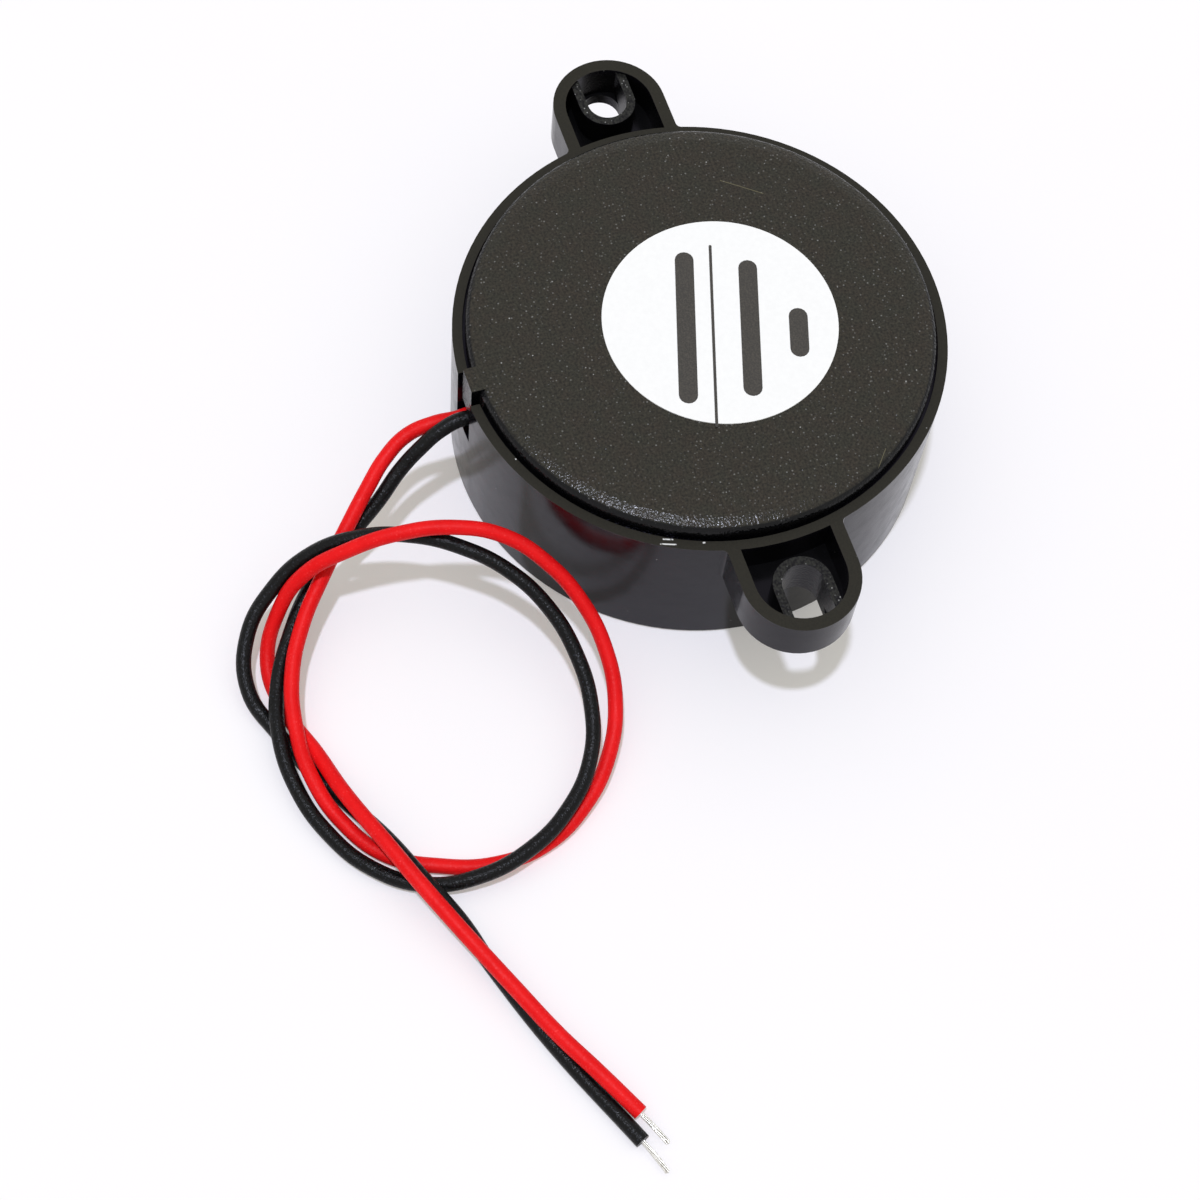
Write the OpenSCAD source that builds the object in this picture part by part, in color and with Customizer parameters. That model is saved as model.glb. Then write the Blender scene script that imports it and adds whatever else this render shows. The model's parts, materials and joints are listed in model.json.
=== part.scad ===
// Flange mounted piezo buzzer with two leads, lying on its sounding face with its back up.
// The sounding face is the XY plane, +X points along the row of mounting slots,
// and the cable slot is on the -Y side.

/* [Body] */
// Outer diameter of the round body
body_d = 42; // [40.5:0.1:43.5]
// Height of the body from its sounding face to its rim
body_h = 15.2; // [14.8:0.1:18]
// Thickness of the rim round the back cover
rim_t = 0.85; // [0.6:0.05:1.1]
// Thickness of the wall below the seat of the back cover
wall_t = 1.7; // [1.4:0.1:2]
// Depth of the seat of the back cover below the rim
seat_depth = 0.8; // [0.5:0.1:1]
// Thickness of the front plate
front_t = 1.6; // [1.2:0.1:2]
// Rounding of the front edge
front_edge_r = 0.3; // [0.15:0.05:0.6]
// Diameter of the sound hole in the front plate
sound_hole_d = 5; // [3:0.1:5.5]
// Thickness of the wall round the recess of the sounder disc
recess_wall = 3.3; // [2.6:0.1:4]
// Width of the ledge that the sounder disc lies on
ledge_w = 1.7; // [1.2:0.1:2.5]
// Depth of the air space in front of the sounder disc
front_cavity_h = 2.6; // [2:0.1:3]
// Width of the cable slot in the wall
cable_slot_w = 3.3; // [3:0.1:4]
// Depth of the cable slot below the rim
cable_slot_depth = 5.9; // [5.6:0.1:6.5]

/* [Mounting ears] */
// Distance from the round wall to the centre of a mounting slot
slot_offset = 4.5; // [4.1:0.1:6]
// Width of a mounting slot
slot_w = 3.5; // [3:0.1:4]
// Length of a mounting slot over its round ends
slot_l = 4.7; // [4.2:0.1:5.2]
// Distance from the outer end of a mounting slot to the outer end of its ear
ear_end = 1.35; // [1.25:0.05:2]
// Width of an ear
ear_w = 10; // [9.4:0.1:12]
// Height of an ear
ear_h = 4.3; // [3.5:0.1:6]
// Thickness of the outer wall of an ear
ear_wall = 1.1; // [0.8:0.05:1.2]
// Thickness of the floor of an ear
ear_floor = 1.1; // [0.8:0.1:1.5]
// Thickness of the boss round a mounting slot
boss_wall = 0.75; // [0.5:0.05:1]
// Depth of the top of the boss below the rim
boss_drop = 0.3; // [0.2:0.05:1]
// Fillet between an ear and the body
ear_fillet_r = 0.5; // [0.2:0.1:1]

/* [Back cover] */
// Clearance round the back cover
cover_gap = 0.25; // [0.1:0.05:0.35]
// Thickness of the back cover
cover_t = 2.1; // [1.6:0.1:3]
// Rounding of the upper edge of the back cover
cover_edge_r = 0.7; // [0.3:0.05:0.8]
// Clearance on each side of the tab that closes the cable slot
tab_side_gap = 0.5; // [0.1:0.05:0.6]
// Distance from the outside of the wall to the outer face of the tab
tab_setback = 0.35; // [0:0.05:0.5]
// Thickness of the tab
tab_t = 1.4; // [1.2:0.1:2]
// Height of the tab
tab_h = 4.5; // [3:0.1:4.6]
// Distance between the two posts that carry the circuit board
post_pitch = 20; // [19:0.1:21]
// Diameter of a post
post_d = 4; // [3:0.1:4.5]
// Length of a post
post_l = 1.2; // [1:0.1:1.4]
// Diameter of the pin at the end of a post
pin_d = 1.6; // [1.2:0.1:2]
// Diameter of the staked head of a pin
pin_head_d = 2.8; // [2.4:0.1:3]
// Height of the staked head of a pin
pin_head_h = 0.6; // [0.4:0.1:0.8]
// Diameter of the round label
label_d = 20; // [15:0.5:22]
// Thickness of the label
label_t = 0.1; // [0.05:0.05:0.2]
// Place of the label's centre on the back cover
label_centre = [0.4, 1.45];

/* [Sounder disc] */
// Thickness of the brass disc
brass_t = 0.25; // [0.15:0.05:0.4]
// Clearance round the brass disc in its recess
brass_gap = 0.2; // [0.1:0.05:0.3]
// Bare margin of brass round the ceramic disc
brass_margin = 5; // [4:0.1:6]
// Thickness of the ceramic disc
ceramic_t = 0.25; // [0.15:0.05:0.3]
// Bare margin of ceramic round the silver
silver_margin = 1; // [0.5:0.1:1.4]
// Thickness of the silver
silver_t = 0.05; // [0.03:0.01:0.08]
// Width of the feedback tongue
tongue_w = 5; // [4:0.1:6]
// Length of the feedback tongue from the edge of the silver
tongue_l = 7; // [6:0.1:8]
// Gap between the feedback tongue and the main silver
tongue_gap = 0.5; // [0.3:0.1:0.8]
// Width of the silicone bead that holds the brass disc
bead_w = 1.3; // [1:0.1:1.5]
// Height of the silicone bead
bead_h = 0.5; // [0.3:0.1:0.6]
// Diameter of a solder blob on the disc
blob_d = 2; // [1.6:0.1:2.4]
// Height of a solder blob on the disc
blob_h = 0.8; // [0.5:0.1:1]
// Direction of the ground wire's blob from the disc's centre
ground_angle = 200; // [190:1:215]
// Direction of the drive wire's blob from the disc's centre
drive_angle = 216; // [205:1:225]
// Distance from the edge of the silver to the centre of the drive wire's blob
drive_inset = 2.2; // [1.5:0.1:3]
// Distance from the edge of the silver to the centre of the feedback wire's blob
feedback_inset = 3; // [1.5:0.1:4]

/* [Circuit board] */
// Length of the circuit board
board_l = 26; // [25.6:0.1:27]
// Width of the circuit board
board_w = 16; // [15.4:0.1:16.6]
// Thickness of the circuit board
board_t = 1; // [0.8:0.1:1.2]
// Corner radius of the circuit board
board_corner_r = 1; // [0.5:0.1:1.5]
// Clearance of a pin in the circuit board
pin_gap = 0.05; // [0.02:0.01:0.15]
// Diameter of the holes for wires in the circuit board
wire_hole_d = 0.8; // [0.75:0.05:1]
// Diameter of a solder joint on the circuit board
joint_d = 1.7; // [1.5:0.1:2]
// Height of a solder joint on the circuit board
joint_h = 0.6; // [0.4:0.05:0.7]
// Width of the solder round a wire at the top of its joint
joint_rim = 0.15; // [0.05:0.05:0.2]
// Gap between the solder joints of two transistor legs
joint_gap = 0.15; // [0.1:0.05:0.2]
// Diameter of the wires of the resistors
resistor_wire_d = 0.45; // [0.35:0.05:0.6]
// Bend radius of the wires of the resistors
resistor_bend_r = 0.8; // [0.6:0.1:1.2]
// Distance between the two holes of a resistor
resistor_pitch = 7.5; // [7:0.1:8]
// Length of a resistor's body
resistor_l = 3.4; // [3:0.1:4]
// Diameter of a resistor's body
resistor_d = 1.8; // [1.5:0.1:2]
// Length of each thick end of a resistor's body
resistor_cap_l = 0.85; // [0.6:0.05:1.1]
// Step from the thick ends of a resistor's body down to its waist
resistor_step = 0.13; // [0.05:0.01:0.2]
// Diameter of the round back of the transistor
transistor_d = 4.6; // [4.2:0.1:5]
// Depth of the transistor from its flat to its round back
transistor_depth = 3.6; // [3.3:0.1:4]
// Height of the transistor's body
transistor_h = 4.8; // [4.2:0.1:5]
// Distance between the transistor's legs
leg_pitch = 1.27; // [1.2:0.01:1.3]
// Diameter of a transistor leg
leg_d = 0.45; // [0.3:0.05:0.5]
// Length of the legs from the transistor to their holes
leg_l = 1.5; // [1:0.1:2]
// Bend radius of the transistor's legs
leg_bend_r = 0.6; // [0.5:0.1:0.9]
// Depth of the legs below the transistor's flat
leg_depth = 1.4; // [1.2:0.1:1.8]
// Gap between the circuit board and the parts that hang below it
part_gap = 0.1; // [0.1:0.05:0.4]
// Diameter of the wires between the circuit board and the disc
disc_wire_d = 0.4; // [0.3:0.05:0.5]
// Length of the straight end of these wires below the circuit board
disc_wire_end = 0.5; // [0.3:0.1:0.8]

/* [Leads] */
// Outer diameter of a lead
lead_d = 1.3; // [1.2:0.05:1.3]
// Diameter of the stranded conductor in a lead
conductor_d = 0.5; // [0.4:0.05:0.6]
// Length of the bare tinned strands at the free ends
tinned_l = 3; // [2:0.5:6]

/* [Hidden] */

$fn = 96;
eps = 0.01;
through = 1;

housing_black = [0.10, 0.10, 0.11];
cover_black = [0.18, 0.17, 0.16];
label_paper = [0.93, 0.93, 0.90];
brass_yellow = [0.80, 0.66, 0.32];
ceramic_white = [0.86, 0.84, 0.78];
silver_grey = [0.80, 0.80, 0.80];
solder_grey = [0.70, 0.71, 0.73];
silicone_white = [0.90, 0.90, 0.88];
board_tan = [0.76, 0.62, 0.38];
resistor_tan = [0.82, 0.70, 0.50];
wire_copper = [0.72, 0.43, 0.24];
lead_red = [0.85, 0.10, 0.10];
lead_black = [0.08, 0.08, 0.09];

body_r = body_d / 2;
inner_r = body_r - wall_t;
seat_r = body_r - rim_t;
seat_z = body_h - seat_depth;
ledge_z = front_t + front_cavity_h;
recess_r = body_r - recess_wall;
brass_r = recess_r - brass_gap;
front_cavity_r = recess_r - ledge_w;
ceramic_r = brass_r - brass_margin;
silver_r = ceramic_r - silver_margin;

ear_x = body_r + slot_offset;
ear_end_x = ear_x + slot_l / 2 + ear_end;
ear_bottom_z = body_h - ear_h;
slot_end_x = (slot_l - slot_w) / 2;

cover_r = seat_r - cover_gap;
cover_top_z = seat_z + cover_t;

brass_top_z = ledge_z + brass_t;
ceramic_top_z = brass_top_z + ceramic_t;
silver_top_z = ceramic_top_z + silver_t;

board_top_z = seat_z - post_l;
board_bottom_z = board_top_z - board_t;
wire_top_z = board_top_z + joint_h;
resistor_z = board_bottom_z - part_gap - resistor_d / 2;
transistor_z = board_bottom_z - part_gap;
leg_z = transistor_z - leg_depth;

// Places of the parts on the circuit board
resistor_places = [[-4.45, 5.6], [4.45, 5.6], [6.2, -4.2]];
transistor_place = [0, -3];
lead_places = [[-2, -6.4], [2, -6.4]];

// Places of the wires between the disc and the circuit board: ground, drive, feedback
bare_brass_r = (ceramic_r + recess_r - bead_w / 2) / 2;
blob_places = [bare_brass_r * [cos(ground_angle), sin(ground_angle)],
               (silver_r - drive_inset) * [cos(drive_angle), sin(drive_angle)],
               [0, feedback_inset - silver_r]];
wire_hole_places = [[-11, -5.5], [-8, -5.5], [-5, -5.5]];
blob_seats = [brass_top_z, silver_top_z, silver_top_z];

disc_wire_steps = 8;

// Height and bend of the leads' bare ends below the circuit board
inner_end_drop = 2;
inner_end_z = board_bottom_z - inner_end_drop;
inner_end_bend_r = 1;
inner_end_run = 1.6;

// Routes of the leads from the circuit board out through the cable slot to their free ends
red_route = [
    [-2, -9, 10.2], [-2, -12, 10.2], [-0.5, -21, 10], [-0.5, -23.4, 10.1],
    [-0.3, -25.8, 9.6], [0.9, -28.1, 8.8], [2.8, -30.2, 8], [5.4, -32.8, 6.9],
    [8.5, -35.8, 5.5], [11.8, -38.5, 4.4], [15.6, -40.5, 3.4], [19.9, -41.4, 2.6],
    [24.4, -41.3, 2.1], [28.5, -39.9, 1.1], [32.2, -37.2, 0.7], [34.3, -33.4, 0.7],
    [35.5, -29, 0.7], [35.1, -24.5, 0.7], [32.9, -20.4, 1.2], [29.6, -17.3, 2.1],
    [25.7, -15.5, 3.4], [21.6, -15.1, 5.1], [17.8, -16, 7.1], [14.5, -18, 9.1],
    [11.7, -21, 10.6], [10, -25, 11.2], [9, -29.4, 10.6], [8.5, -33.5, 9],
    [8.5, -37.3, 6.8], [9.6, -39.9, 3.9], [12.9, -42, 1.1], [17.5, -41.7, 0.8],
    [22.1, -40.3, 1.5], [26.6, -39.2, 2.7], [32.6, -37.1, 3.8], [36.8, -35.4, 3.6],
    [46.9, -30.6, 2.1], [51, -28.7, 2], [54.8, -26.6, 1.8], [58.7, -24.4, 1.1]];
black_route = [
    [2, -9, 10.2], [2, -12, 10.2], [0.4, -21, 11.2], [0.7, -23.2, 10.7],
    [1.2, -24.9, 9.8], [2.1, -27.1, 8.4], [3.7, -29.5, 7], [5.8, -33.2, 5.2],
    [8.4, -36.9, 3.9], [11.9, -39.7, 3.1], [15.7, -41.8, 2.5], [20.1, -42.9, 2.1],
    [24.7, -42.7, 1.4], [29, -41.3, 1], [33, -38.7, 1], [35.6, -35, 1],
    [36.5, -30.6, 1.8], [35.6, -26.1, 2.1], [33.3, -22.1, 2.4], [29.9, -19.1, 3.1],
    [25.8, -17.7, 4.2], [21.5, -17.7, 5.7], [17.5, -18.9, 7.3], [14, -21.2, 8.6],
    [11.1, -24.5, 9.4], [8.8, -28.3, 9.4], [7.3, -32.4, 8.5], [6.9, -36.5, 6.8],
    [8.1, -40.1, 4.8], [10.7, -43, 3], [15, -44.2, 1.5], [19.2, -42.8, 0.7],
    [23, -41.2, 0.7], [27.2, -38.9, 1], [31.5, -36.9, 2.4], [35.5, -35.2, 2.5],
    [39.6, -33.2, 1.5], [43.6, -31.9, 0.7], [50.9, -29.3, 0.7], [60.8, -24.9, 0.7]];

function unit(v) = v / norm(v);
function heading(path, i) = unit(path[min(i + 1, len(path) - 1)] - path[max(i - 1, 0)]);
function past_end(path, l) = path[len(path) - 1] + l * heading(path, len(path) - 1);

// Points of a wire that leaves one end straight up and reaches the other straight up
function rising_path(from, to, steps) = [
    for (i = [0 : steps])
        let (t = i / steps, s = (1 - cos(180 * t)) / 2)
        [from[0] + (to[0] - from[0]) * s, from[1] + (to[1] - from[1]) * s,
         from[2] + (to[2] - from[2]) * t]
];

// Round wire along a path, with the given number of sides
module tube(path, r, side_axis, sides = 8) {
    last = len(path) - 1;
    rings = [
        for (i = [0 : last])
            let (t = heading(path, i), u = unit(cross(t, side_axis)), v = cross(u, t))
            for (k = [0 : sides - 1])
                path[i] + r * (cos(360 * k / sides) * u + sin(360 * k / sides) * v)
    ];
    skin = [
        for (i = [0 : last - 1], k = [0 : sides - 1])
            let (a = i * sides + k, b = i * sides + (k + 1) % sides)
            each [[a, b, b + sides], [a, b + sides, a + sides]]
    ];
    first_cap = [for (k = [sides - 1 : -1 : 0]) k];
    last_cap = [for (k = [0 : sides - 1]) last * sides + k];
    polyhedron(rings, concat([first_cap, last_cap], skin));
}

// Wire that runs along +X from the origin, bends up and rises to a height
module bent_wire(run, bend_r, rise, d) {
    rotate([0, 90, 0]) cylinder(h = run - bend_r, d = d);
    translate([run - bend_r, 0, bend_r]) rotate([90, 0, 0]) rotate_extrude(angle = -90) {
        translate([bend_r, 0]) circle(d = d);
    }
    translate([run, 0, bend_r]) cylinder(h = rise - bend_r, d = d);
}

// Outline of a slot with round ends, long along X and centred on the origin
module obround(l, w) {
    square([l - w, w], center = true);
    for (side = [-1, 1]) translate([side * (l - w) / 2, 0]) circle(d = w);
}

// Domed cap with a flat base on the XY plane
module dome(d, h) {
    ball_r = (d * d / 4 + h * h) / (2 * h);
    intersection() {
        translate([0, 0, h - ball_r]) sphere(ball_r);
        cylinder(h = h + through, d = d + through);
    }
}

// Disc with a rounded upper edge
module rounded_disc(r, h, edge_r) {
    rotate_extrude() {
        square([r, h - edge_r]);
        square([r - edge_r, h]);
        translate([r - edge_r, h - edge_r]) circle(edge_r);
    }
}

// Upright cylinder from one height to another
module bore(d, z0, z1) {
    translate([0, 0, z0]) cylinder(h = z1 - z0, d = d);
}

// Outline of an ear, from inside the body's wall to its round end
module ear_outline() {
    end_x = ear_end_x - ear_w / 2;
    translate([end_x, 0]) circle(d = ear_w);
    translate([inner_r, -ear_w / 2]) square([end_x - inner_r, ear_w]);
}

// Space inside an ear, inside its outer wall
module pocket_outline() {
    pocket_w = ear_w - 2 * ear_wall;
    end_x = ear_end_x - ear_w / 2;
    difference() {
        union() {
            translate([end_x, 0]) circle(d = pocket_w);
            translate([0, -pocket_w / 2]) square([end_x, pocket_w]);
        }
        circle(r = body_r);
    }
}

// Outline of the boss round a mounting slot, open toward the outer end of the ear
module boss_outline() {
    start_x = ear_x - slot_end_x;
    module u_shape(w) {
        translate([start_x, 0]) circle(d = w);
        translate([start_x, -w / 2]) square([ear_end_x - start_x, w]);
    }
    difference() {
        u_shape(slot_w + 2 * boss_wall);
        u_shape(slot_w);
    }
}

// Fillet in the corner between the side of an ear and the round wall
module ear_fillet() {
    side_y = ear_w / 2;
    centre_y = side_y + ear_fillet_r;
    centre_x = sqrt(pow(body_r + ear_fillet_r, 2) - pow(centre_y, 2));
    touch = [centre_x, centre_y] * body_r / (body_r + ear_fillet_r);
    corner = [sqrt(pow(body_r, 2) - pow(side_y, 2)), side_y];
    difference() {
        polygon([corner - [ear_fillet_r, ear_fillet_r], [centre_x, side_y - ear_fillet_r],
                 [centre_x, centre_y], touch - [ear_fillet_r, 0]]);
        translate([centre_x, centre_y]) circle(ear_fillet_r);
    }
}

module ear() {
    difference() {
        translate([0, 0, ear_bottom_z]) linear_extrude(ear_h) {
            ear_outline();
            ear_fillet();
            mirror([0, 1]) ear_fillet();
        }
        translate([0, 0, ear_bottom_z + ear_floor]) linear_extrude(ear_h) {
            difference() {
                pocket_outline();
                boss_outline();
            }
        }
        translate([0, 0, body_h - boss_drop]) linear_extrude(ear_h) pocket_outline();
        translate([ear_x, 0, ear_bottom_z - through]) {
            linear_extrude(ear_h + 2 * through) obround(slot_l, slot_w);
        }
    }
}

// Round shell of the housing with its front plate, ledges and sound hole
module body_shell() {
    difference() {
        union() {
            translate([0, 0, body_h]) mirror([0, 0, 1]) rounded_disc(body_r, body_h, front_edge_r);
            for (turn = [0, 180]) rotate(turn) ear();
        }
        bore(sound_hole_d, -through, front_t + through);
        bore(2 * front_cavity_r, front_t, ledge_z + through);
        bore(2 * recess_r, ledge_z, brass_top_z + through);
        bore(2 * inner_r, brass_top_z, body_h + through);
        bore(2 * seat_r, seat_z, body_h + through);
    }
}

module housing() {
    slot_bottom_z = body_h - cable_slot_depth;
    color(housing_black) difference() {
        body_shell();
        translate([-cable_slot_w / 2, -body_r - through, slot_bottom_z]) {
            cube([cable_slot_w, body_r, cable_slot_depth + through]);
        }
    }
}

module back_cover() {
    tab_w = cable_slot_w - 2 * tab_side_gap;
    color(cover_black) {
        translate([0, 0, seat_z]) rounded_disc(cover_r, cover_t, cover_edge_r);
        translate([-tab_w / 2, tab_setback - body_r, cover_top_z - tab_h]) {
            cube([tab_w, tab_t, tab_h]);
        }
        for (side = [-1, 1]) translate([side * post_pitch / 2, 0, 0]) {
            bore(post_d, board_top_z, seat_z + eps);
            bore(pin_d, board_bottom_z - eps, board_top_z + eps);
            translate([0, 0, board_bottom_z]) mirror([0, 0, 1]) dome(pin_head_d, pin_head_h);
        }
    }
}

module label() {
    color(label_paper) translate([label_centre[0], label_centre[1], cover_top_z]) {
        cylinder(h = label_t, d = label_d);
    }
}

// Silicone bead on the edge of the brass disc and on the shoulder round it
module glue_ring() {
    arc_r = (bead_w * bead_w / 4 + bead_h * bead_h) / (2 * bead_h);
    color(silicone_white) translate([0, 0, brass_top_z]) rotate_extrude() {
        translate([recess_r, 0]) intersection() {
            translate([0, bead_h - arc_r]) circle(arc_r);
            translate([-bead_w, 0]) square([2 * bead_w, bead_h + through]);
        }
    }
}

module brass_plate() {
    color(brass_yellow) translate([0, 0, ledge_z]) cylinder(h = brass_t, r = brass_r);
}

module ceramic_disc() {
    color(ceramic_white) translate([0, 0, brass_top_z]) cylinder(h = ceramic_t, r = ceramic_r);
}

// Outline of the feedback tongue, which reaches in from the -Y edge of the silver
module tongue_outline(w) {
    tip_y = tongue_l - silver_r - tongue_w / 2;
    translate([0, tip_y]) circle(d = w);
    translate([-w / 2, -ceramic_r]) square([w, ceramic_r + tip_y]);
}

module main_electrode() {
    color(silver_grey) translate([0, 0, ceramic_top_z]) linear_extrude(silver_t) {
        difference() {
            circle(silver_r);
            tongue_outline(tongue_w + 2 * tongue_gap);
        }
    }
}

module feedback_electrode() {
    color(silver_grey) translate([0, 0, ceramic_top_z]) linear_extrude(silver_t) {
        intersection() {
            circle(silver_r);
            tongue_outline(tongue_w);
        }
    }
}

module disc_solder() {
    color(solder_grey) for (i = [0 : 2]) {
        translate([blob_places[i][0], blob_places[i][1], blob_seats[i]]) dome(blob_d, blob_h);
    }
}

// Places of every hole that a wire passes through in the circuit board
resistor_holes = [
    for (place = resistor_places, side = [-1, 1]) place + [side * resistor_pitch / 2, 0]
];
transistor_holes = [for (i = [-1 : 1]) transistor_place + [i * leg_pitch, 0]];
wire_holes = concat(resistor_holes, transistor_holes, wire_hole_places, lead_places);

// Outline of the circuit board, with round corners
module board_outline() {
    square([board_l - 2 * board_corner_r, board_w], center = true);
    square([board_l, board_w - 2 * board_corner_r], center = true);
    for (x = [-1, 1], y = [-1, 1]) {
        translate([x * (board_l / 2 - board_corner_r), y * (board_w / 2 - board_corner_r)]) {
            circle(board_corner_r);
        }
    }
}

module circuit_board() {
    color(board_tan) difference() {
        translate([0, 0, board_bottom_z]) linear_extrude(board_t) board_outline();
        for (side = [-1, 1]) translate([side * post_pitch / 2, 0, 0]) {
            bore(pin_d + 2 * pin_gap, board_bottom_z - through, board_top_z + through);
        }
        for (place = wire_holes) {
            translate([place[0], place[1], 0]) {
                bore(wire_hole_d, board_bottom_z - through, board_top_z + through);
            }
        }
    }
}

// Cone of solder round a wire on the upper side of the circuit board
module solder_joint(place, d, wire_d) {
    translate([place[0], place[1], board_top_z]) difference() {
        cylinder(h = joint_h, d1 = d, d2 = wire_d + 2 * joint_rim);
        translate([0, 0, -through]) cylinder(h = joint_h + 2 * through, d = wire_d);
    }
}

module board_solder() {
    leg_joint_d = min(joint_d, leg_pitch - joint_gap);
    color(solder_grey) {
        for (place = resistor_holes) solder_joint(place, joint_d, resistor_wire_d);
        for (place = wire_hole_places) solder_joint(place, joint_d, disc_wire_d);
        for (place = transistor_holes) solder_joint(place, leg_joint_d, leg_d);
        for (place = lead_places) solder_joint(place, joint_d, conductor_d);
    }
}

// Transistor with a round back, lying with its flat up against the circuit board
module transistor() {
    back_y = transistor_depth - transistor_d / 2;
    color(housing_black) translate([transistor_place[0], transistor_place[1] + leg_l, transistor_z]) {
        rotate([-90, 0, 0]) linear_extrude(transistor_h) intersection() {
            translate([0, back_y]) circle(d = transistor_d);
            translate([-transistor_d, 0]) square([2 * transistor_d, transistor_depth]);
        }
    }
}

// Legs that run out of the transistor and bend up through the circuit board
module transistor_legs() {
    color(silver_grey) for (place = transistor_holes) {
        translate([place[0], place[1] + leg_l, leg_z]) rotate(-90) {
            bent_wire(leg_l, leg_bend_r, wire_top_z - leg_z, leg_d);
        }
    }
}

// Resistor body, slimmer between its two thick ends
module resistor_body(place) {
    waist_d = resistor_d - 2 * resistor_step;
    color(resistor_tan) translate([place[0], place[1], resistor_z]) rotate([0, 90, 0]) {
        cylinder(h = resistor_l, d = waist_d, center = true);
        for (side = [-1, 1]) translate([0, 0, side * (resistor_l - resistor_cap_l) / 2]) {
            cylinder(h = resistor_cap_l, d = resistor_d, center = true);
        }
    }
}

module resistor_1() {
    resistor_body(resistor_places[0]);
}

module resistor_2() {
    resistor_body(resistor_places[1]);
}

module resistor_3() {
    resistor_body(resistor_places[2]);
}

module resistor_wires() {
    run = (resistor_pitch - resistor_l) / 2;
    color(silver_grey) for (place = resistor_places, turn = [0, 180]) {
        translate([place[0], place[1], resistor_z]) rotate(turn) translate([resistor_l / 2, 0, 0]) {
            bent_wire(run, resistor_bend_r, wire_top_z - resistor_z, resistor_wire_d);
        }
    }
}

// Wire from a solder blob on the disc up through the circuit board
module disc_wire(i) {
    hole = wire_hole_places[i];
    blob_top = [blob_places[i][0], blob_places[i][1], blob_seats[i] + blob_h];
    board_side = [hole[0], hole[1], board_bottom_z - disc_wire_end];
    joint_top = [hole[0], hole[1], wire_top_z];
    path = concat(rising_path(blob_top, board_side, disc_wire_steps), [joint_top]);
    color(wire_copper) tube(path, disc_wire_d / 2, [0, 1, 0]);
}

module ground_wire() {
    disc_wire(0);
}

module drive_wire() {
    disc_wire(1);
}

module feedback_wire() {
    disc_wire(2);
}

// Bare end of a lead that bends up through the circuit board
module inner_end(place) {
    run = inner_end_run + inner_end_bend_r;
    color(solder_grey) translate([place[0], place[1] - run, inner_end_z]) rotate(90) {
        bent_wire(run, inner_end_bend_r, wire_top_z - inner_end_z, conductor_d);
    }
}

module red_inner_end() {
    inner_end(lead_places[0]);
}

module black_inner_end() {
    inner_end(lead_places[1]);
}

module red_lead() {
    color(lead_red) tube(red_route, lead_d / 2, [0, 0, 1]);
}

module black_lead() {
    color(lead_black) tube(black_route, lead_d / 2, [0, 0, 1]);
}

// Tinned strands at the free end of a lead
module tinned_end(route) {
    start = route[len(route) - 1];
    color(solder_grey) tube([start, past_end(route, tinned_l)], conductor_d / 2, [0, 0, 1]);
}

module red_tinned_end() {
    tinned_end(red_route);
}

module black_tinned_end() {
    tinned_end(black_route);
}

housing();
back_cover();
label();
glue_ring();
brass_plate();
ceramic_disc();
main_electrode();
feedback_electrode();
disc_solder();
circuit_board();
board_solder();
transistor();
transistor_legs();
resistor_1();
resistor_2();
resistor_3();
resistor_wires();
ground_wire();
drive_wire();
feedback_wire();
red_inner_end();
black_inner_end();
red_lead();
black_lead();
red_tinned_end();
black_tinned_end();
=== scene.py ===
import json
import math

import bmesh
import bpy
from mathutils import Matrix, Vector


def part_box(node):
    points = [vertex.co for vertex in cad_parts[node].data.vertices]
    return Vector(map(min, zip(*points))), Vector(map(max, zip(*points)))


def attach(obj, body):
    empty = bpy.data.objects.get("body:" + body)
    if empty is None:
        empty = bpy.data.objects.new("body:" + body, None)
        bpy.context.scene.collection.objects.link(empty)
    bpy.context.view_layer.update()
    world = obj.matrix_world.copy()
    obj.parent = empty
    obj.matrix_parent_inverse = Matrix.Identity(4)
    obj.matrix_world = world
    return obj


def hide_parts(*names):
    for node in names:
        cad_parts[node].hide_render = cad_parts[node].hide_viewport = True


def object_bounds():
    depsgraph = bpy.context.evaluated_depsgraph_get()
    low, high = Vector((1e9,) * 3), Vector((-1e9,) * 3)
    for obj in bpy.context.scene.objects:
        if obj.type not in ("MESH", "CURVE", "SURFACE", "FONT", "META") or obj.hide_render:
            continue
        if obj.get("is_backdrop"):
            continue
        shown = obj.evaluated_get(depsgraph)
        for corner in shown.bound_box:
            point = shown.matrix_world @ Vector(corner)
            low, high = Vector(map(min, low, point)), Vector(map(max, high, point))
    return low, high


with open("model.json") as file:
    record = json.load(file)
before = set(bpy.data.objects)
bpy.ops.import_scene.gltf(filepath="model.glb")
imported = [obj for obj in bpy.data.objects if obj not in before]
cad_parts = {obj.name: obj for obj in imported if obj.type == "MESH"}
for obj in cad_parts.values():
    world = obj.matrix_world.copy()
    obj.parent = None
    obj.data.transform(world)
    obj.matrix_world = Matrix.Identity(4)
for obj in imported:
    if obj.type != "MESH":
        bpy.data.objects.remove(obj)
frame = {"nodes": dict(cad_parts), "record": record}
cad_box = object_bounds()
node = frame["nodes"]
MM = 0.001

# Camera: metres and degrees in the row's frame, lens and sensor in millimetres
CAMERA_AT = Vector((0.10365, -0.05549, 0.19784))
CAMERA_AIM = Vector((0.01484, -0.01300, 0.0))
CAMERA_ROLL = 7.87
CAMERA_LENS = 76.7
SENSOR_WIDTH = 36

# Heights of the housing's rim, of the tops of its bosses and of the back cover
RIM_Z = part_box("housing")[1][2]
BOSS_DROP = 0.3 * MM
BOSS_Z = RIM_Z - BOSS_DROP
COVER_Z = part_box("back_cover")[1][2]

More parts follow.
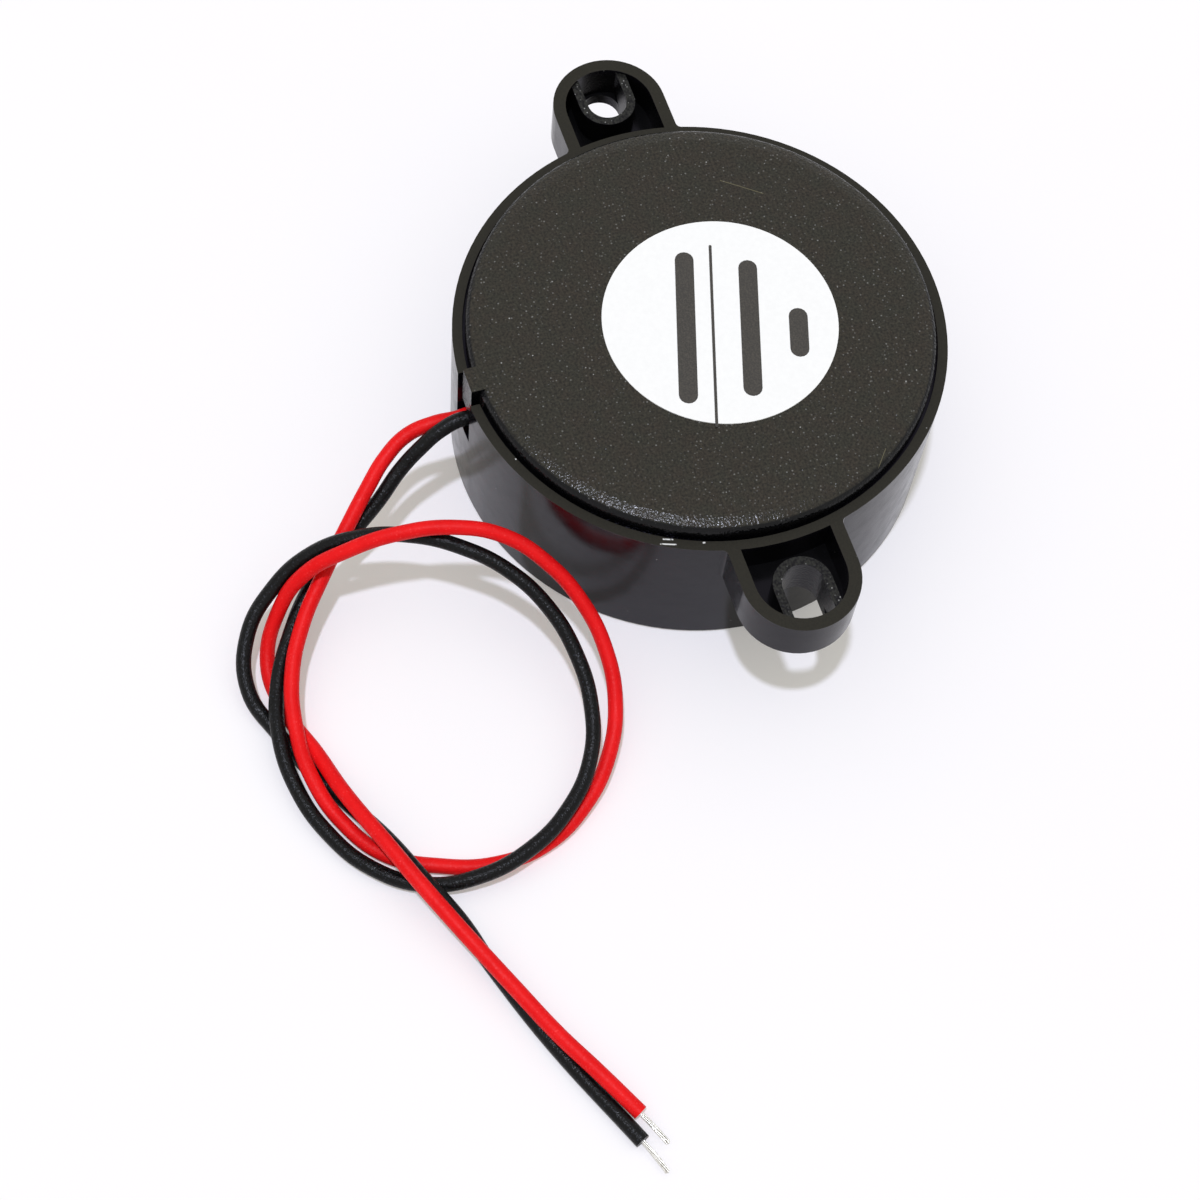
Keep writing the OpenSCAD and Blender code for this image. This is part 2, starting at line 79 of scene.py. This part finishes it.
# The slight fall of the back cover's face just inside the rounded edge
COVER_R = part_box("back_cover")[1][0]
COVER_FALL_FROM = COVER_R - 1.45 * MM
COVER_FALL_TO = COVER_R - 0.45 * MM
COVER_FALL = 0.19 * MM

# Leads
LEAD_D = 1.3 * MM

# Strands at the leads' free ends, which twist, splay and droop and end a little unevenly
STRAND_COUNT = 7
STRAND_D = 0.13 * MM
STRAND_RADIUS = STRAND_D * 0.48
STRAND_STEPS = 4
STRAND_TWIST = 1.6
STRAND_SPLAY = 0.25
STRAND_DROOP = 0.16 * MM
STRAND_REACH = 0.9
STRAND_UNEVEN = 0.08 * MM

# Points of the leads' routes in millimetres, as in the part's source
RED_ROUTE = [
    (-2, -9, 10.2), (-2, -12, 10.2), (-0.5, -21, 10), (-0.5, -23.4, 10.1),
    (-0.3, -25.8, 9.6), (0.9, -28.1, 8.8), (2.8, -30.2, 8), (5.4, -32.8, 6.9),
    (8.5, -35.8, 5.5), (11.8, -38.5, 4.4), (15.6, -40.5, 3.4), (19.9, -41.4, 2.6),
    (24.4, -41.3, 2.1), (28.5, -39.9, 1.1), (32.2, -37.2, 0.7), (34.3, -33.4, 0.7),
    (35.5, -29, 0.7), (35.1, -24.5, 0.7), (32.9, -20.4, 1.2), (29.6, -17.3, 2.1),
    (25.7, -15.5, 3.4), (21.6, -15.1, 5.1), (17.8, -16, 7.1), (14.5, -18, 9.1),
    (11.7, -21, 10.6), (10, -25, 11.2), (9, -29.4, 10.6), (8.5, -33.5, 9),
    (8.5, -37.3, 6.8), (9.6, -39.9, 3.9), (12.9, -42, 1.1), (17.5, -41.7, 0.8),
    (22.1, -40.3, 1.5), (26.6, -39.2, 2.7), (32.6, -37.1, 3.8), (36.8, -35.4, 3.6),
    (46.9, -30.6, 2.1), (51, -28.7, 2), (54.8, -26.6, 1.8), (58.7, -24.4, 1.1)]
BLACK_ROUTE = [
    (2, -9, 10.2), (2, -12, 10.2), (0.4, -21, 11.2), (0.7, -23.2, 10.7),
    (1.2, -24.9, 9.8), (2.1, -27.1, 8.4), (3.7, -29.5, 7), (5.8, -33.2, 5.2),
    (8.4, -36.9, 3.9), (11.9, -39.7, 3.1), (15.7, -41.8, 2.5), (20.1, -42.9, 2.1),
    (24.7, -42.7, 1.4), (29, -41.3, 1), (33, -38.7, 1), (35.6, -35, 1),
    (36.5, -30.6, 1.8), (35.6, -26.1, 2.1), (33.3, -22.1, 2.4), (29.9, -19.1, 3.1),
    (25.8, -17.7, 4.2), (21.5, -17.7, 5.7), (17.5, -18.9, 7.3), (14, -21.2, 8.6),
    (11.1, -24.5, 9.4), (8.8, -28.3, 9.4), (7.3, -32.4, 8.5), (6.9, -36.5, 6.8),
    (8.1, -40.1, 4.8), (10.7, -43, 3), (15, -44.2, 1.5), (19.2, -42.8, 0.7),
    (23, -41.2, 0.7), (27.2, -38.9, 1), (31.5, -36.9, 2.4), (35.5, -35.2, 2.5),
    (39.6, -33.2, 1.5), (43.6, -31.9, 0.7), (50.9, -29.3, 0.7), (60.8, -24.9, 0.7)]

# Middle lines of an ear's pocket and of its slot, seen from above, in millimetres, and how far
# from each line the pocket's painted shade and the slot's rough finish have ended and are whole
POCKET_LINE = ((20, 0), (24.2, 0))
POCKET_REACH = (4.5 * MM, 4.1 * MM)
SLOT_LINE = ((24.9, 0), (26.1, 0))
SLOT_REACH = (2.2 * MM, 1.95 * MM)

# Wear on the back cover and painted glints on the rim: ends and half width of each line, in mm
COVER_SCRATCHES = [((-13.1, 6.3), (-12.0, 7.8), 0.05), ((-12.0, 7.8), (-10.8, 9.4), 0.05),
                   ((15.9, 10.4), (18.0, 8.7), 0.04)]
RIM_PAINTED_GLINTS = [((17.95, -9.60), (18.20, -8.90), 0.08), ((18.30, -9.95), (18.70, -8.80), 0.08),
             ((19.20, -6.6), (19.2, -6.5), 0.10), ((7.45, -18.8), (7.5, -18.8), 0.07)]

# Tints that a grey is multiplied by
WARM = (1.14, 0.98, 0.76)
GREENISH = (1.0, 1.03, 0.84)
COOL = (0.9, 0.95, 1.2)

# Plain print on the label: a divider and bars, each by its place along and across the label,
# its length and its width, in millimetres
LABEL_CENTRE = Vector((0.4, 1.45, 0)) * MM
PRINT_TURN = -17.8
PRINT_THICKNESS = 0.02 * MM
PRINT_ROUND_STEPS = 8
PRINT_BARS = {
    "print_divider": (1.4, -0.64, 17.9, 0.25),
    "print_bar_1": (0.7, -2.9, 14.9, 1.6),
    "print_bar_2": (0.6, 2.5, 13.4, 1.6),
    "print_bar_3": (1.0, 6.6, 4.8, 1.6),
}

# Light: a small bright lamp overhead, and a room that is bright above and dim at the horizon
LAMP_TOWARD = Vector((0.12, -0.14, 1.0))
LAMP_STRENGTH = 1.84
LAMP_COLOUR = (0.80, 0.84, 1.0)
LAMP_ANGLE = 3.0
ROOM_COLOUR = (1.0, 0.97, 0.83, 1.0)
ROOM_HORIZON = 0.14
ROOM_ZENITH_GAIN = 0.89
WHITE = (1.0, 1.0, 1.0, 1.0)

# Table: half its side, and the share of plain white that the rays to the background see in it
FLOOR_HALF = 1.5
FLOOR_WHITE_SHARE = 0.25


def place_camera():
    """The photograph's viewpoint: aimed at a point on the floor, then rolled."""
    data = bpy.data.cameras.new("camera")
    data.lens = CAMERA_LENS
    data.sensor_width = SENSOR_WIDTH
    data.clip_start = 0.01
    camera = bpy.data.objects.new("camera", data)
    bpy.context.scene.collection.objects.link(camera)
    aim = (CAMERA_AIM - CAMERA_AT).to_track_quat("-Z", "Y").to_matrix().to_4x4()
    roll = Matrix.Rotation(math.radians(CAMERA_ROLL), 4, "Z")
    camera.matrix_world = Matrix.Translation(CAMERA_AT) @ aim @ roll
    bpy.context.scene.camera = camera


place_camera()


class Tree:
    """Short forms for adding nodes to a node tree."""

    def __init__(self, tree):
        self.tree = tree

    def add(self, kind, **inputs):
        made = self.tree.nodes.new(kind)
        for key, value in inputs.items():
            self.set(made.inputs[key], value)
        return made

    def set(self, socket, value):
        """Link a socket to a node's output, or give it a plain value."""
        if isinstance(value, bpy.types.NodeSocket):
            self.tree.links.new(value, socket)
        else:
            socket.default_value = value

    def split(self, vector):
        made = self.add("ShaderNodeSeparateXYZ", Vector=vector)
        return made.outputs["X"], made.outputs["Y"], made.outputs["Z"]

    def math(self, operation, *values):
        made = self.add("ShaderNodeMath")
        made.operation = operation
        for socket, value in zip(made.inputs, values):
            self.set(socket, value)
        return made.outputs["Value"]

    def vector(self, operation, *values):
        made = self.add("ShaderNodeVectorMath")
        made.operation = operation
        for socket, value in zip(made.inputs, values):
            self.set(socket, value)
        return made.outputs["Value" if operation in ("DOT_PRODUCT", "LENGTH") else "Vector"]

    def both(self, *shares):
        """Product of shares, so that it is 1 only where all are."""
        made = shares[0]
        for share in shares[1:]:
            made = self.math("MULTIPLY", made, share)
        return made

    def mix_shader(self, share, a, b):
        """Shader a where share is 0 and shader b where it is 1."""
        made = self.add("ShaderNodeMixShader", Fac=share)
        self.set(made.inputs[1], a)
        self.set(made.inputs[2], b)
        return made.outputs["Shader"]

    def sees_background(self):
        """1 for rays that show the background: the camera's, reflected and transmitted ones."""
        path = self.add("ShaderNodeLightPath").outputs
        seen = self.math("MAXIMUM", path["Is Camera Ray"], path["Is Glossy Ray"])
        return self.math("MAXIMUM", seen, path["Is Transmission Ray"])


class Nodes(Tree):
    """A new material, and short forms for the patterns that it is made of."""

    def __init__(self, name):
        self.material = bpy.data.materials.new(name)
        self.material.use_nodes = True
        super().__init__(self.material.node_tree)
        self.shader = self.tree.nodes["Principled BSDF"]
        place = self.add("ShaderNodeTexCoord")
        self.place = place.outputs["Object"]
        self.normal = place.outputs["Normal"]

    def feed(self, name, value):
        """Give an input of the material's shader its value."""
        self.set(self.shader.inputs[name], value)

    def noise(self, size, detail=2.0, roughness=0.5):
        """Cloud noise whose features are about size metres across."""
        made = self.add("ShaderNodeTexNoise", Vector=self.place, Scale=1 / size,
                        Detail=detail, Roughness=roughness)
        return made.outputs["Fac"]

    def cells(self, size):
        """Round cells of about that size: distance from the middle, and a random share each."""
        made = self.add("ShaderNodeTexVoronoi", Vector=self.place, Scale=1 / size)
        return made.outputs["Distance"], self.split(made.outputs["Color"])[0]

    def span(self, value, low, high, to_low=0.0, to_high=1.0, smooth=False):
        """Value remapped from one range to another, held at its ends."""
        ends = {"From Min": low, "From Max": high, "To Min": to_low, "To Max": to_high}
        made = self.add("ShaderNodeMapRange", Value=value, **ends)
        made.interpolation_type = "SMOOTHSTEP" if smooth else "LINEAR"
        return made.outputs["Result"]

    def away(self, start, end, both_sides=False):
        """Distance in metres, seen from above, from a line with its ends in millimetres."""
        first, last = Vector((*start, 0)) * MM, Vector((*end, 0)) * MM
        run = last - first
        place = self.vector("ABSOLUTE", self.place) if both_sides else self.place
        flat = self.vector("SUBTRACT", self.vector("MULTIPLY", place, (1, 1, 0)), first)
        along = self.vector("DOT_PRODUCT", flat, tuple(run / run.length_squared))
        share = self.span(along, 0, 1)
        reach = {axis: self.math("MULTIPLY", share, size) for axis, size in zip("XYZ", run)}
        nearest = self.add("ShaderNodeCombineXYZ", **reach)
        return self.vector("LENGTH", self.vector("SUBTRACT", flat, nearest.outputs["Vector"]))

    def lines(self, all_lines):
        """1 on straight lines seen from above, each given by its ends and half its width."""
        made = 0.0
        for start, end, half_width in all_lines:
            on_line = self.span(self.away(start, end), half_width * MM, 0.4 * half_width * MM)
            made = self.math("MAXIMUM", on_line, made)
        return made

    def mix(self, share, a, b):
        """Colour a where share is 0 and colour b where it is 1."""
        made = self.add("ShaderNodeMix")
        made.data_type = "RGBA"
        sockets = [s for s in made.inputs if s.type == "RGBA"]
        self.set(made.inputs["Factor"], share)
        self.set(sockets[0], a)
        self.set(sockets[1], b)
        return [s for s in made.outputs if s.type == "RGBA"][0]

    def blend(self, share, a, b):
        """Number a where share is 0 and number b where it is 1."""
        made = self.add("ShaderNodeMix", Factor=share)
        sockets = [s for s in made.inputs if s.type == "VALUE" and s.name in "AB"]
        self.set(sockets[0], a)
        self.set(sockets[1], b)
        return made.outputs["Result"]

    def bump(self, height, depth, normal=None):
        """Bump of that depth in metres, on top of another one where that is given."""
        made = self.add("ShaderNodeBump", Strength=1.0, Distance=depth, Height=height)
        if normal is not None:
            self.set(made.inputs["Normal"], normal)
        return made.outputs["Normal"]


def grey(level, tint=(1.0, 1.0, 1.0)):
    """Grey colour, or one tinted by a factor for each channel."""
    return (level * tint[0], level * tint[1], level * tint[2], 1.0)


def housing_black():
    """Polished walls, matt rim and ear tops, rough boss tops, dust, painted shade and highlights.
    """
    n = Nodes("housing_black")
    height = n.split(n.place)[2]
    fine = n.noise(0.15 * MM, detail=3, roughness=0.6)
    grain = n.noise(0.22 * MM, detail=1)

    # Shares of the flat tops, the rim among them, the boss tops, the slots and the pockets
    upward = n.span(n.split(n.normal)[2], 0.7, 0.9)
    top = n.both(upward, n.span(height, BOSS_Z - 0.3 * MM, BOSS_Z - 0.1 * MM))
    rim = n.both(top, n.span(height, BOSS_Z + 0.1 * MM, BOSS_Z + 0.2 * MM))
    boss = n.math("SUBTRACT", top, rim)
    slot = n.span(n.away(*SLOT_LINE, both_sides=True), *SLOT_REACH)
    pocket = n.both(n.span(n.away(*POCKET_LINE, both_sides=True), *POCKET_REACH),
                    n.span(height, BOSS_Z, BOSS_Z - 0.5 * MM))

    # Plain colour of each
    cloud = n.span(n.noise(5 * MM, detail=4), 0.35, 0.65)
    wall = n.mix(cloud, (0.0036, 0.0031, 0.0051, 1), (0.0054, 0.0048, 0.0074, 1))
    # Painted shade: the inside of each ear's pocket is darker and a neutral grey
    wall = n.mix(pocket, wall, grey(0.0032))
    matt = n.mix(n.span(fine, 0.3, 0.7),
                 (0.0183, 0.0174, 0.0110, 1), (0.0250, 0.0236, 0.0150, 1))
    pitted = n.mix(n.span(grain, 0.36, 0.64), grey(0.006, GREENISH), grey(0.027, GREENISH))
    colour = n.mix(rim, n.mix(boss, wall, pitted), matt)

    # Painted highlight: a light line along the rim's outer edge, broken up by noise
    edge = n.both(n.span(height, RIM_Z - 0.10 * MM, RIM_Z - 0.02 * MM),
                  n.math("SUBTRACT", 1.0, upward))
    rim_highlight_breakup = n.span(n.noise(1.2 * MM), 0.40, 0.60, 0.1, 0.8)
    colour = n.mix(n.both(edge, rim_highlight_breakup), colour, grey(0.06))

    # Dust, painted glints as specks on the boss tops, and painted glints on the rim
    distance, pick = n.cells(0.8 * MM)
    dust = n.both(n.span(distance, 0.10, 0.05), n.span(pick, 0.90, 0.95))
    speck_distance, speck_pick = n.cells(0.24 * MM)
    boss_painted_glint = n.both(boss, n.span(speck_distance, 0.32, 0.16), n.span(speck_pick, 0.80, 1.0))
    colour = n.mix(n.math("MAXIMUM", n.both(dust, 0.7), boss_painted_glint), colour, grey(0.35))
    # Painted glints: short bright lines on the rim, just under its top
    ragged = n.span(n.noise(0.25 * MM), 0.36, 0.46)
    near_rim = n.span(height, RIM_Z - 0.4 * MM, RIM_Z - 0.1 * MM)
    colour = n.mix(n.both(n.lines(RIM_PAINTED_GLINTS), near_rim, ragged), colour, grey(0.80))
    n.feed("Base Color", colour)

    smear = n.span(n.noise(1.5 * MM, detail=5), 0.3, 0.7, 0.14, 0.25)
    rough = n.math("MAXIMUM", boss, slot)
    n.feed("Roughness", n.blend(rough, n.blend(top, smear, 0.55), 0.30))
    n.feed("Specular IOR Level", 0.145)
    n.feed("Specular Tint", (0.82, 0.76, 1.0, 1.0))
    ripple = n.bump(n.noise(3 * MM), 0.02 * MM)
    rippled = n.bump(n.both(fine, n.blend(top, 0.02, 0.6)), 0.02 * MM, normal=ripple)
    pits = n.both(grain, n.blend(boss, n.both(slot, 0.4), 0.7))
    n.feed("Normal", n.bump(pits, 0.07 * MM, normal=rippled))
    return n.material


def cover_black():
    """Spark eroded texture: glinting pits, painted glints, and a falling edge in painted shade."""
    n = Nodes("cover_black")
    upward = n.split(n.normal)[2]
    grain = n.noise(0.22 * MM, detail=2, roughness=0.6)
    patch = n.span(n.noise(1.6 * MM, detail=3), 0.35, 0.65)
    dark = n.mix(patch, (0.0150, 0.0128, 0.0102, 1), (0.0136, 0.0130, 0.0104, 1))
    light = n.mix(patch, (0.0450, 0.0372, 0.0272, 1), (0.0405, 0.0382, 0.0276, 1))
    face = n.mix(n.span(grain, 0.32, 0.68), dark, light)
    # Painted shade: where the face tilts away from up, on the rounded edge and the side, it turns
    # near black
    colour = n.mix(n.span(upward, 0.94, 0.82), face, grey(0.002, COOL))

    # Painted glints: many faint specks and a few bright ones, on the face only; and the scratches
    fine_distance, fine_pick = n.cells(0.34 * MM)
    fine_painted_glint = n.both(n.span(fine_distance, 0.28, 0.12), n.span(fine_pick, 0.45, 1.0, 0.0, 0.20))
    bright_distance, bright_pick = n.cells(0.8 * MM)
    bright_painted_glint = n.both(n.span(bright_distance, 0.10, 0.05),
                          n.span(bright_pick, 0.70, 1.0, 0.0, 0.6))
    painted_glint = n.both(n.math("MAXIMUM", fine_painted_glint, bright_painted_glint), n.span(upward, 0.6, 0.95))
    colour = n.mix(painted_glint, colour, grey(0.75))
    high = n.span(n.split(n.place)[2], COVER_Z - 0.2 * MM, COVER_Z - 0.1 * MM)
    scratched = n.both(n.lines(COVER_SCRATCHES), high, 0.6)
    n.feed("Base Color", n.mix(scratched, colour, (0.19, 0.17, 0.10, 1)))

    n.feed("Roughness", n.span(grain, 0.3, 0.7, 0.17, 0.23))
    n.feed("Specular IOR Level", 0.19)
    radius = n.vector("LENGTH", n.vector("MULTIPLY", n.place, (1, 1, 0)))
    fall = n.span(radius, COVER_FALL_FROM, COVER_FALL_TO, 1.0, 0.0, smooth=True)
    falling = n.bump(fall, COVER_FALL)
    n.feed("Normal", n.bump(n.noise(0.19 * MM, detail=0.5), 0.058 * MM, normal=falling))
    return n.material


def label_paper():
    """Matt coated paper."""
    n = Nodes("label_paper")
    fibre = n.noise(0.4 * MM, detail=4)
    n.feed("Base Color", n.mix(n.span(fibre, 0.3, 0.7), grey(0.91), grey(0.94)))
    n.feed("Roughness", 0.55)
    n.feed("Normal", n.bump(fibre, 0.004 * MM))
    return n.material


def print_ink():
    """Matt black ink that is a little uneven."""
    n = Nodes("print_ink")
    uneven = n.span(n.noise(0.15 * MM), 0.4, 0.7)
    n.feed("Base Color", n.mix(uneven, grey(0.02, WARM), grey(0.045, WARM)))
    n.feed("Roughness", 0.6)
    return n.material


def pvc(name, low, high, painted_glint_colour, painted_glint_share, grain_depth, roughness, specular):
    """Extruded PVC insulation with a fine pebbled grain, and painted glints as lighter specks."""
    n = Nodes(name)
    grain = n.noise(0.20 * MM, detail=1)
    streak = n.span(n.noise(2.5 * MM, detail=2), 0.3, 0.7)
    distance, pick = n.cells(0.24 * MM)
    # Painted glints: specks of a lighter colour scattered over the grain
    painted_glint = n.both(n.span(distance, 0.40, 0.15), n.span(pick, 0.5, 1.0, 0.0, painted_glint_share))
    n.feed("Base Color", n.mix(painted_glint, n.mix(streak, low, high), painted_glint_colour))
    n.feed("Roughness", n.span(grain, 0.3, 0.7, roughness - 0.06, roughness + 0.06))
    n.feed("Specular IOR Level", specular)
    n.feed("Normal", n.bump(grain, grain_depth))
    return n.material


def metal(name, colour, roughness, grain, depth):
    """Plain metal with a fine uneven surface."""
    n = Nodes(name)
    cloud = n.noise(grain, detail=3)
    dim = tuple(0.82 * c for c in colour[:3]) + (1.0,)
    n.feed("Base Color", n.mix(n.span(cloud, 0.3, 0.7), dim, colour))
    n.feed("Metallic", 1.0)
    n.feed("Roughness", n.span(cloud, 0.3, 0.7, roughness - 0.08, roughness + 0.08))
    n.feed("Normal", n.bump(cloud, depth))
    return n.material


def plain_body(name, low, high, grain, roughness):
    """Moulded, pressed or cured body with a cloudy colour."""
    n = Nodes(name)
    cloud = n.noise(grain, detail=4)
    n.feed("Base Color", n.mix(n.span(cloud, 0.3, 0.7), low, high))
    n.feed("Roughness", roughness)
    n.feed("Normal", n.bump(cloud, 0.01 * MM))
    return n.material


def resistor_paint():
    """Tan lacquer with colour bands across the body."""
    n = Nodes("resistor_paint")
    cloud = n.span(n.noise(0.5 * MM), 0.3, 0.7)
    tan = n.mix(cloud, (0.62, 0.42, 0.22, 1.0), (0.68, 0.48, 0.27, 1.0))
    band_pitch = 0.6 * MM
    share = n.math("FRACT", n.math("DIVIDE", n.split(n.place)[0], band_pitch))
    n.feed("Base Color", n.mix(n.span(share, 0.62, 0.66), tan, (0.25, 0.06, 0.03, 1.0)))
    n.feed("Roughness", 0.35)
    return n.material


def floor_white():
    """Plain pale table that keeps a light shadow."""
    n = Nodes("floor_white")
    cloud = n.span(n.noise(60 * MM), 0.3, 0.7)
    n.feed("Base Color", n.mix(cloud, (0.955, 0.930, 0.965, 1), (0.97, 0.945, 0.975, 1)))
    n.feed("Roughness", 0.8)
    n.feed("Specular IOR Level", 0.2)
    white = n.add("ShaderNodeEmission", Color=WHITE, Strength=1.0)
    share = n.both(n.sees_background(), FLOOR_WHITE_SHARE)
    seen = n.mix_shader(share, n.shader.outputs["BSDF"], white.outputs["Emission"])
    n.set(n.tree.nodes["Material Output"].inputs["Surface"], seen)
    return n.material


# Materials by the record's slots, and the ink, which has no slot
MATERIALS = {
    "housing_plastic": housing_black(),
    "cover_plastic": cover_black(),
    "label_paper": label_paper(),
    "silicone": plain_body("silicone", grey(0.72), grey(0.80), 0.8 * MM, 0.45),
    "brass": metal("brass", (0.78, 0.57, 0.26, 1.0), 0.30, 0.4 * MM, 0.002 * MM),
    "piezo_ceramic": plain_body("piezo_ceramic", (0.60, 0.56, 0.48, 1), (0.68, 0.64, 0.56, 1),
                                0.5 * MM, 0.6),
    "fired_silver": metal("fired_silver", grey(0.82), 0.45, 0.2 * MM, 0.002 * MM),
    "solder": metal("solder", grey(0.70), 0.30, 0.5 * MM, 0.01 * MM),
    "board": plain_body("board", (0.42, 0.27, 0.11, 1), (0.50, 0.33, 0.14, 1), 0.6 * MM, 0.5),
    "transistor_body": plain_body("transistor_body", grey(0.015), grey(0.03), 0.2 * MM, 0.55),
    "resistor_body": resistor_paint(),
    "lacquered_wire": metal("lacquered_wire", (0.60, 0.25, 0.10, 1.0), 0.25,
                            0.3 * MM, 0.002 * MM),
    "tinned_wire": metal("tinned_wire", (0.74, 0.72, 0.66, 1), 0.36, 0.25 * MM, 0.006 * MM),
    "red_pvc": pvc("red_pvc", (0.78, 0.006, 0.008, 1), (0.86, 0.010, 0.012, 1),
                   painted_glint_colour=(0.97, 0.06, 0.06, 1), painted_glint_share=0.5, grain_depth=0.03 * MM,
                   roughness=0.46, specular=0.12),
    "black_pvc": pvc("black_pvc", grey(0.0030), grey(0.0052),
                     painted_glint_colour=(0.040, 0.046, 0.062, 1), painted_glint_share=0.6, grain_depth=0.06 * MM,
                     roughness=0.34, specular=0.14),
    "print_ink": print_ink(),
}

for part in frame["record"]["subparts"]:
    mesh = node[part["node"]].data
    mesh.materials.clear()
    mesh.materials.append(MATERIALS[part["material_slot"]])


def link(name, data, material):
    """New object of the part that rides on its one body."""
    made = bpy.data.objects.new(name, data)
    bpy.context.scene.collection.objects.link(made)
    data.materials.append(MATERIALS[material])
    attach(made, "root")
    return made


def spline_object(name, paths, radius, slot, lowest):
    """Smooth round wires, one for each list of points in metres, none of them below lowest."""
    curve = bpy.data.curves.new(name, "CURVE")
    curve.dimensions = "3D"
    curve.bevel_depth = radius
    curve.bevel_resolution = 5
    curve.resolution_u = 8
    curve.use_fill_caps = True
    for path in paths:
        spline = curve.splines.new("BEZIER")
        spline.bezier_points.add(len(path) - 1)
        for point, co in zip(spline.bezier_points, path):
            point.co = co
            point.handle_left_type = "AUTO"
            point.handle_right_type = "AUTO"
        for point in spline.bezier_points:
            left, right = point.handle_left.copy(), point.handle_right.copy()
            if min(left.z, right.z) < lowest:
                point.handle_left_type = "FREE"
                point.handle_right_type = "FREE"
                point.handle_left = (left.x, left.y, max(left.z, lowest))
                point.handle_right = (right.x, right.y, max(right.z, lowest))
    made = link(name, curve, slot)
    return made


def lead(name, route, slot):
    """Insulation of a lead along its route, and the route's points in metres."""
    path = [Vector(point) * MM for point in route]
    made = spline_object(name + "_sleeve", [path], LEAD_D / 2, slot, LEAD_D / 2)
    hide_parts(name)
    return made, path


def strands(name, path, slot):
    """Tinned strands that leave the cut end of a lead and droop and splay a little."""
    length = (Vector(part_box(name)[1]) - Vector(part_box(name)[0])).length
    along = (path[-1] - path[-2]).normalized()
    across = along.cross(Vector((0, 0, 1))).normalized()
    up = across.cross(along)
    wires = []
    for i in range(STRAND_COUNT):
        turn = math.tau * i / (STRAND_COUNT - 1)
        from_middle = 0 if i == STRAND_COUNT - 1 else STRAND_D
        reach = length * STRAND_REACH - STRAND_UNEVEN * (i % 3)
        wire = []
        for step in range(STRAND_STEPS + 1):
            share = step / STRAND_STEPS
            twist = turn + STRAND_TWIST * share
            toward = math.cos(twist) * across + math.sin(twist) * up
            side = toward * from_middle * (1 + STRAND_SPLAY * share)
            droop = across * STRAND_DROOP * share ** 2
            wire.append(path[-1] + along * reach * share + side + droop)
        wires.append(wire)
    made = spline_object(name + "_strands", wires, STRAND_RADIUS, slot, STRAND_D / 2)
    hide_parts(name)
    return made


red_lead, red_path = lead("red_lead", RED_ROUTE, "red_pvc")
black_lead, black_path = lead("black_lead", BLACK_ROUTE, "black_pvc")
red_strands = strands("red_tinned_end", red_path, "tinned_wire")
black_strands = strands("black_tinned_end", black_path, "tinned_wire")


def print_bar(name, along, across, length, width):
    """Flat printed bar with round ends on the label."""
    mesh = bmesh.new()
    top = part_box("label")[1][2] + PRINT_THICKNESS
    radius = width / 2
    outline = []
    for side, centre in ((1, length / 2 - radius), (-1, radius - length / 2)):
        for step in range(PRINT_ROUND_STEPS + 1):
            turn = math.pi * (step / PRINT_ROUND_STEPS - 0.5)
            x = (centre + side * radius * math.cos(turn)) * MM
            y = side * radius * math.sin(turn) * MM
            outline.append(Vector((x, y, 0)))
    turn = Matrix.Rotation(math.radians(PRINT_TURN), 4, "Z")
    shift = Matrix.Translation(Vector((along, across, 0)) * MM)
    place = Matrix.Translation(LABEL_CENTRE) @ turn @ shift
    lift = Vector((0, 0, top))
    face = mesh.faces.new([mesh.verts.new(place @ point + lift) for point in outline])
    bmesh.ops.extrude_face_region(mesh, geom=[face])
    mesh.verts.ensure_lookup_table()
    for vert in mesh.verts[:len(outline)]:
        vert.co.z -= PRINT_THICKNESS
    bmesh.ops.recalc_face_normals(mesh, faces=mesh.faces)
    data = bpy.data.meshes.new(name)
    mesh.to_mesh(data)
    mesh.free()
    link(name, data, "print_ink")


for name, sizes in PRINT_BARS.items():
    print_bar(name, *sizes)


def room_light():
    """World whose light grows from the horizon to the zenith, and which is seen as white."""
    world = bpy.data.worlds.new("world")
    world.use_nodes = True
    n = Tree(world.node_tree)
    toward = n.add("ShaderNodeTexCoord").outputs["Generated"]
    square = n.math("POWER", n.math("MAXIMUM", n.split(toward)[2], 0.0), 2.0)
    level = n.math("MULTIPLY_ADD", square, ROOM_ZENITH_GAIN, ROOM_HORIZON)
    ambient = n.tree.nodes["Background"]
    n.set(ambient.inputs["Color"], ROOM_COLOUR)
    n.set(ambient.inputs["Strength"], level)
    white = n.add("ShaderNodeBackground", Color=WHITE, Strength=1.0)
    outputs = (ambient.outputs["Background"], white.outputs["Background"])
    seen = n.mix_shader(n.sees_background(), *outputs)
    n.set(n.tree.nodes["World Output"].inputs["Surface"], seen)
    bpy.context.scene.world = world


def studio():
    """Pale table with a lamp overhead."""
    data = bpy.data.meshes.new("floor")
    corners = [(-1, -1), (1, -1), (1, 1), (-1, 1)]
    data.from_pydata([(x * FLOOR_HALF, y * FLOOR_HALF, 0) for x, y in corners], [], [(0, 1, 2, 3)])
    floor = bpy.data.objects.new("floor", data)
    bpy.context.scene.collection.objects.link(floor)
    floor.data.materials.append(floor_white())
    floor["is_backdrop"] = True

    lamp = bpy.data.lights.new("lamp", "SUN")
    lamp.energy = LAMP_STRENGTH
    lamp.angle = math.radians(LAMP_ANGLE)
    lamp.color = LAMP_COLOUR
    holder = bpy.data.objects.new("lamp", lamp)
    holder.rotation_euler = LAMP_TOWARD.to_track_quat("Z", "Y").to_euler()
    bpy.context.scene.collection.objects.link(holder)


studio()
room_light()
bpy.context.scene.view_settings.view_transform = "Standard"

sizes = {"cad": [list(c) for c in cad_box], "visual": [list(c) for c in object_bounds()]}
